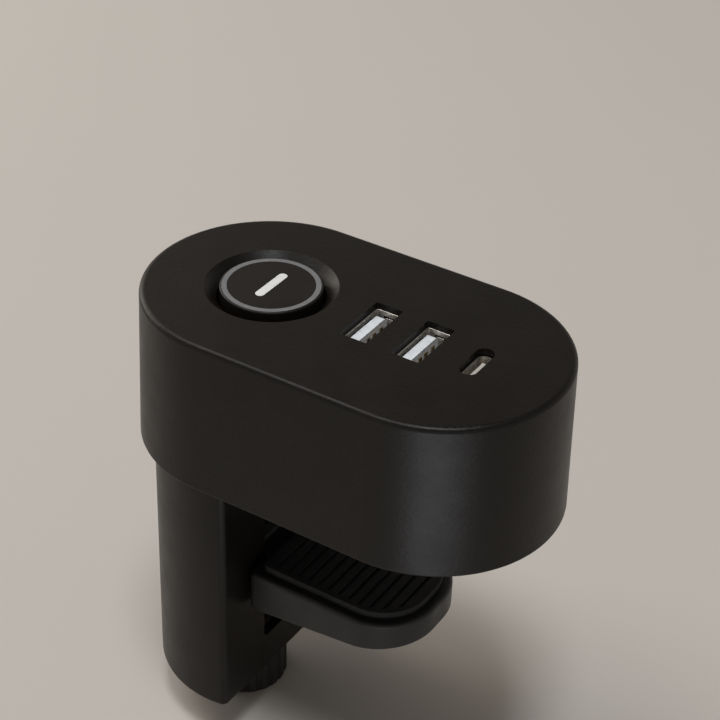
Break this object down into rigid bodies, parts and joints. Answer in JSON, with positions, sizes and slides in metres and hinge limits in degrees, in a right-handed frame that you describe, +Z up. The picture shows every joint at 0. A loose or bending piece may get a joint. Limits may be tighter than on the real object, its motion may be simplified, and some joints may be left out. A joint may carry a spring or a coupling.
{
  "type": "clamp-on desk power strip",
  "caption": "Stadium-shaped desk power unit with a lit power button and USB sockets, held on the edge of a desk by a column and a screw-fed clamp jaw.",
  "frame": {"origin": "middle of the head's footprint, on the underside of the desk pad, which lies on the desk top", "axes": "+Z up; +X along the head from the power button towards the USB-C socket, away from the desk's edge; -X beyond the edge of the desk"},
  "size_m": [0.0886, 0.0516, 0.1013],
  "materials": {
    "housing_plastic": "matte, fine spark-eroded grain",
    "button_plastic": "matte",
    "ring_light_guide": "satin",
    "symbol_light_guide": "satin",
    "black_rubber": "matte",
    "port_steel": "bright",
    "port_insulator_white": "satin",
    "port_insulator_grey": "satin",
    "contact_gold": "plated",
    "board_green": "solder mask",
    "component_black": "matte",
    "capacitor_sleeve": "shrink sleeve",
    "ferrite_grey": "fired",
    "copper_wire": "enamelled",
    "fuse_ceramic": "glazed",
    "terminal_green": "satin",
    "flex_amber": "film",
    "insulation_film": "film",
    "lamp_epoxy": "clear",
    "zinc_plated_steel": "zinc plated",
    "spring_steel": "drawn wire",
    "blackened_steel": "black oxide",
    "plate_coating": "powder coat",
    "jaw_coating": "powder coat, fine texture",
    "turned_brass": "turned",
    "bearing_bronze": "sintered",
    "liner_plastic": "acetal"
  },
  "bodies": {
    "unit": {"head_housing": "housing_plastic", "base_plate": "plate_coating", "desk_pad": "black_rubber", "housing_screws": "blackened_steel", "push_switch": "component_black", "return_spring": "spring_steel", "switch_board": "board_green", "switch_standoffs": "turned_brass", "switch_board_screws": "zinc_plated_steel", "button_leds": "lamp_epoxy", "usb_a_shell_1": "port_steel", "usb_a_shell_2": "port_steel", "usb_a_tongue_1": "port_insulator_white", "usb_a_tongue_2": "port_insulator_white", "usb_a_contacts_1": "contact_gold", "usb_a_contacts_2": "contact_gold", "usb_c_shell": "port_steel", "usb_c_tongue": "port_insulator_grey", "usb_c_contacts": "contact_gold", "main_board": "board_green", "main_board_screws": "zinc_plated_steel", "insulating_sheet": "insulation_film", "transformer_core": "ferrite_grey", "transformer_winding": "copper_wire", "input_capacitors": "capacitor_sleeve", "output_capacitors": "capacitor_sleeve", "power_chokes": "ferrite_grey", "charge_chips": "component_black", "line_fuse": "fuse_ceramic", "bridge_rectifier": "component_black", "mains_terminal_block": "terminal_green", "board_link": "flex_amber", "column_shell": "housing_plastic", "column_bottom_cap": "housing_plastic", "column_cap_screws": "blackened_steel", "column_top_screws": "zinc_plated_steel", "cable_grommet": "black_rubber", "spine_bracket": "zinc_plated_steel", "spine_screws": "zinc_plated_steel", "thrust_washer": "bearing_bronze"},
    "power_button": {"button_cap": "button_plastic", "button_light_ring": "ring_light_guide", "button_symbol_bar": "symbol_light_guide", "switch_plunger": "component_black"},
    "jaw": {"clamp_jaw": "jaw_coating", "jaw_pad": "black_rubber", "jaw_nut": "turned_brass", "jaw_liners": "liner_plastic"},
    "feed_screw": {"lead_screw": "zinc_plated_steel", "retaining_clip": "spring_steel", "clamp_knob": "component_black", "knob_grub_screw": "blackened_steel"}
  },
  "joints": [
    {"name": "power_button_press", "type": "slide", "parent": "unit", "child": "power_button", "axis": [0, 0, -1], "range_m": [0, 0.0018], "stiffness_N_per_m": 400, "springref_m": -0.002, "deforming": ["return_spring"]},
    {"name": "feed_screw_turn", "type": "hinge", "parent": "unit", "child": "feed_screw", "pos_m": [-0.025, 0, -0.03], "axis": [0, 0, 1], "range_deg": [-3121, 3601]},
    {"name": "jaw_slide", "type": "slide", "parent": "unit", "child": "jaw", "axis": [0, 0, 1], "range_m": [-0.013, 0.015]}
  ],
  "couplings": [
    {"joint": "feed_screw_turn", "follows": "jaw_slide", "rad_per_m": 4188.8}
  ]
}
